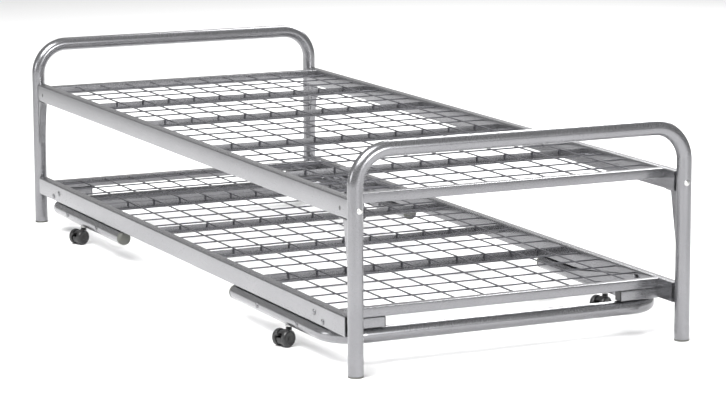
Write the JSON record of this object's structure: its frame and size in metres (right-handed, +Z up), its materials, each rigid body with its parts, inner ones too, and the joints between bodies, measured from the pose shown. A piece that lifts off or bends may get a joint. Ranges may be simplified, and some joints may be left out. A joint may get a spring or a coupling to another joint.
{
  "type": "trundle bed",
  "caption": "Low steel guest bed with tube hoops at both ends and a second wire base that rolls out sideways on castered folding legs.",
  "frame": {"origin": "on the floor, at the middle of the bounding box", "axes": "+X towards the foot end, +Z up, +Y towards the left side, away from the side the trundle rolls out of"},
  "size_m": [2.095, 0.8868, 0.5119],
  "materials": {
    "silver_paint": "silver-grey metallic powder coat, satin",
    "wire_steel": "dark grey drawn wire, semi-gloss",
    "zinc_steel": "zinc plated",
    "grey_plastic": "moulded, matte",
    "black_plastic": "moulded, semi-gloss"
  },
  "bodies": {
    "bed_frame": {"bracket_foot_left": "silver_paint", "bracket_foot_right": "silver_paint", "bracket_head_left": "silver_paint", "bracket_head_right": "silver_paint", "foot_hoop": "silver_paint", "glide_foot_left": "grey_plastic", "glide_foot_right": "grey_plastic", "glide_head_left": "grey_plastic", "glide_head_right": "grey_plastic", "head_hoop": "silver_paint", "upper_crossbar_1": "silver_paint", "upper_crossbar_2": "silver_paint", "upper_crossbar_3": "silver_paint", "upper_crossbar_4": "silver_paint", "upper_foot_rail": "silver_paint", "upper_head_rail": "silver_paint", "upper_left_rail": "silver_paint", "upper_right_rail": "silver_paint", "upper_wire_mesh": "wire_steel"},
    "trundle": {"caster_stem_foot_left": "zinc_steel", "caster_stem_foot_right": "zinc_steel", "caster_stem_head_left": "zinc_steel", "caster_stem_head_right": "zinc_steel", "foot_leg_tube": "silver_paint", "head_leg_tube": "silver_paint", "leg_cap_foot_left": "grey_plastic", "leg_cap_foot_right": "grey_plastic", "leg_cap_head_left": "grey_plastic", "leg_cap_head_right": "grey_plastic", "long_link_foot_left": "silver_paint", "long_link_foot_right": "silver_paint", "long_link_head_left": "silver_paint", "long_link_head_right": "silver_paint", "rest_block_foot_left": "silver_paint", "rest_block_foot_right": "silver_paint", "rest_block_head_left": "silver_paint", "rest_block_head_right": "silver_paint", "short_link_foot_left": "silver_paint", "short_link_foot_right": "silver_paint", "short_link_head_left": "silver_paint", "short_link_head_right": "silver_paint", "trundle_crossbar_1": "silver_paint", "trundle_crossbar_2": "silver_paint", "trundle_crossbar_3": "silver_paint", "trundle_crossbar_4": "silver_paint", "trundle_foot_rail": "silver_paint", "trundle_head_rail": "silver_paint", "trundle_left_rail": "silver_paint", "trundle_right_rail": "silver_paint", "trundle_wire_mesh": "wire_steel"},
    "caster_swivel_head_right": {"caster_housing_head_right": "black_plastic"},
    "caster_pair_head_right": {"caster_wheels_head_right": "black_plastic"},
    "brake_lever_head_right": {"caster_brake_head_right": "black_plastic"},
    "caster_swivel_head_left": {"caster_housing_head_left": "black_plastic"},
    "caster_pair_head_left": {"caster_wheels_head_left": "black_plastic"},
    "caster_swivel_foot_right": {"caster_housing_foot_right": "black_plastic"},
    "caster_pair_foot_right": {"caster_wheels_foot_right": "black_plastic"},
    "brake_lever_foot_right": {"caster_brake_foot_right": "black_plastic"},
    "caster_swivel_foot_left": {"caster_housing_foot_left": "black_plastic"},
    "caster_pair_foot_left": {"caster_wheels_foot_left": "black_plastic"}
  },
  "joints": [
    {"name": "trundle_slide", "type": "slide", "parent": "bed_frame", "child": "trundle", "axis": [0, -1, 0], "range_m": [0, 1]},
    {"name": "swivel_head_right", "type": "hinge", "parent": "trundle", "child": "caster_swivel_head_right", "pos_m": [-0.679, -0.40188, 0.035], "axis": [0, 0, 1], "continuous": true},
    {"name": "wheel_spin_head_right", "type": "hinge", "parent": "caster_swivel_head_right", "child": "caster_pair_head_right", "pos_m": [-0.67236, -0.41753, 0.02], "axis": [0.9205, 0.3907, 0], "continuous": true},
    {"name": "brake_press_head_right", "type": "hinge", "parent": "caster_swivel_head_right", "child": "brake_lever_head_right", "pos_m": [-0.66767, -0.42858, 0.031], "axis": [0.9205, 0.3907, 0], "range_deg": [0, 10]},
    {"name": "swivel_head_left", "type": "hinge", "parent": "trundle", "child": "caster_swivel_head_left", "pos_m": [-0.679, 0.42212, 0.035], "axis": [0, 0, 1], "continuous": true},
    {"name": "wheel_spin_head_left", "type": "hinge", "parent": "caster_swivel_head_left", "child": "caster_pair_head_left", "pos_m": [-0.67236, 0.40647, 0.02], "axis": [0.9205, 0.3907, 0], "continuous": true},
    {"name": "swivel_foot_right", "type": "hinge", "parent": "trundle", "child": "caster_swivel_foot_right", "pos_m": [0.679, -0.40188, 0.035], "axis": [0, 0, 1], "continuous": true},
    {"name": "wheel_spin_foot_right", "type": "hinge", "parent": "caster_swivel_foot_right", "child": "caster_pair_foot_right", "pos_m": [0.68564, -0.41753, 0.02], "axis": [0.9205, 0.3907, 0], "continuous": true},
    {"name": "brake_press_foot_right", "type": "hinge", "parent": "caster_swivel_foot_right", "child": "brake_lever_foot_right", "pos_m": [0.69033, -0.42858, 0.031], "axis": [0.9205, 0.3907, 0], "range_deg": [0, 10]},
    {"name": "swivel_foot_left", "type": "hinge", "parent": "trundle", "child": "caster_swivel_foot_left", "pos_m": [0.679, 0.42212, 0.035], "axis": [0, 0, 1], "continuous": true},
    {"name": "wheel_spin_foot_left", "type": "hinge", "parent": "caster_swivel_foot_left", "child": "caster_pair_foot_left", "pos_m": [0.68564, 0.40647, 0.02], "axis": [0.9205, 0.3907, 0], "continuous": true}
  ]
}
